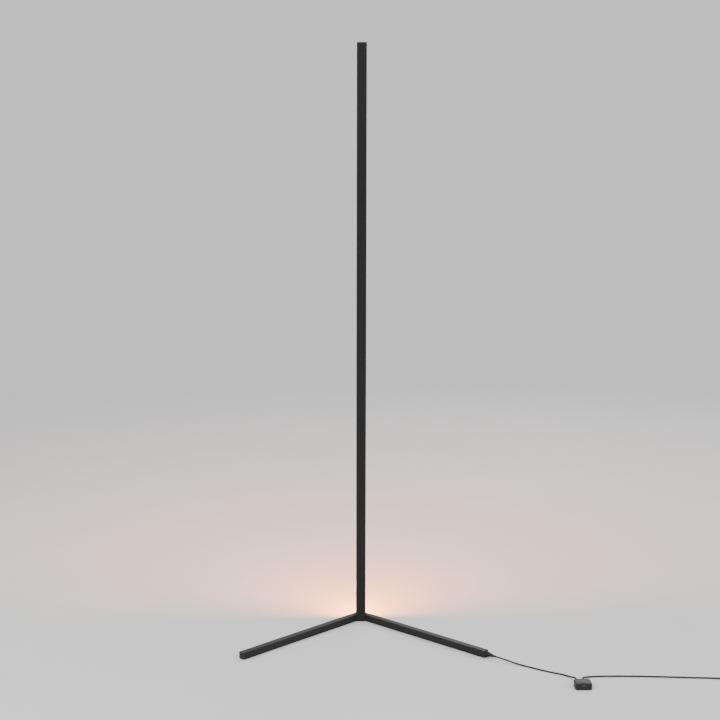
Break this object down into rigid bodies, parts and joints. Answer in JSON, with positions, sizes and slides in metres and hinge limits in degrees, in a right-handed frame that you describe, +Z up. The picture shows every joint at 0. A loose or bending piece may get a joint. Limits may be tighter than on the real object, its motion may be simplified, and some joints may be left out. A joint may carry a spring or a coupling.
{
  "type": "led floor lamp",
  "caption": "Slim black corner floor lamp: a square pole with a light channel in its back, on a V of two thin legs, with a lead to an in-line controller and a plug.",
  "frame": {"origin": "on the floor under the pole's middle, at the flat underside of the corner foot", "axes": "+Z up along the pole, +Y the way the light shines (to the wall), -Y the open side of the legs, +X to the leg with the lead"},
  "size_m": [1.1564, 0.485, 1.4],
  "materials": {
    "black_aluminium": "matte black anodised extrusion",
    "bare_aluminium": "sawn bare aluminium",
    "black_steel": "matte black powder coat",
    "black_casting": "matte black powder coat on a casting",
    "zinc_steel": "zinc-plated screws",
    "black_moulding": "fine-grained black moulding",
    "opal_cover": "opal, lit from inside",
    "strip_film": "white circuit film",
    "light_source": "clear-filled light sources",
    "white_moulding": "white connector plastic",
    "foot_rubber": "matte rubber",
    "lead_jacket": "smooth black jacket",
    "sleeve_rubber": "flexible moulded sleeve",
    "circuit_board": "green solder mask",
    "chip_plastic": "epoxy package",
    "receiver_plastic": "dark infrared window",
    "plug_metal": "bright nickel plate",
    "contact_metal": "gold-plated contacts",
    "tie_strap": "woven strap"
  },
  "bodies": {
    "lamp": {"lower_pole": "black_aluminium", "middle_pole": "black_aluminium", "upper_pole": "black_aluminium", "lower_splice": "bare_aluminium", "upper_splice": "bare_aluminium", "left_leg": "black_steel", "right_leg": "black_steel", "corner_block": "black_casting", "pole_screws": "zinc_steel", "leg_screws": "zinc_steel", "controller_screws": "zinc_steel", "top_cap": "black_moulding", "left_end_cap": "black_moulding", "right_end_cap": "black_moulding", "controller_base": "black_moulding", "controller_cover": "black_moulding", "switch_body": "black_moulding", "light_diffuser": "opal_cover", "led_strip": "strip_film", "led_chips": "light_source", "strip_connector": "white_moulding", "plug_tongue": "white_moulding", "corner_foot": "foot_rubber", "left_foot": "foot_rubber", "right_foot": "foot_rubber", "leg_lead": "lead_jacket", "lamp_cord": "lead_jacket", "supply_cord": "lead_jacket", "cord_coil": "lead_jacket", "plug_lead": "lead_jacket", "strain_relief": "sleeve_rubber", "inlet_gland": "sleeve_rubber", "outlet_gland": "sleeve_rubber", "plug_body": "sleeve_rubber", "controller_board": "circuit_board", "board_chips": "chip_plastic", "receiver_window": "receiver_plastic", "plug_shell": "plug_metal", "plug_contacts": "contact_metal", "cord_tie": "tie_strap"},
    "button": {"controller_button": "black_moulding", "switch_plunger": "white_moulding"}
  },
  "joints": [
    {"name": "button_press", "type": "slide", "parent": "lamp", "child": "button", "axis": [0, 0, -1], "range_m": [0, 0.0006], "stiffness_N_per_m": 1500, "springref_m": -0.0004}
  ]
}
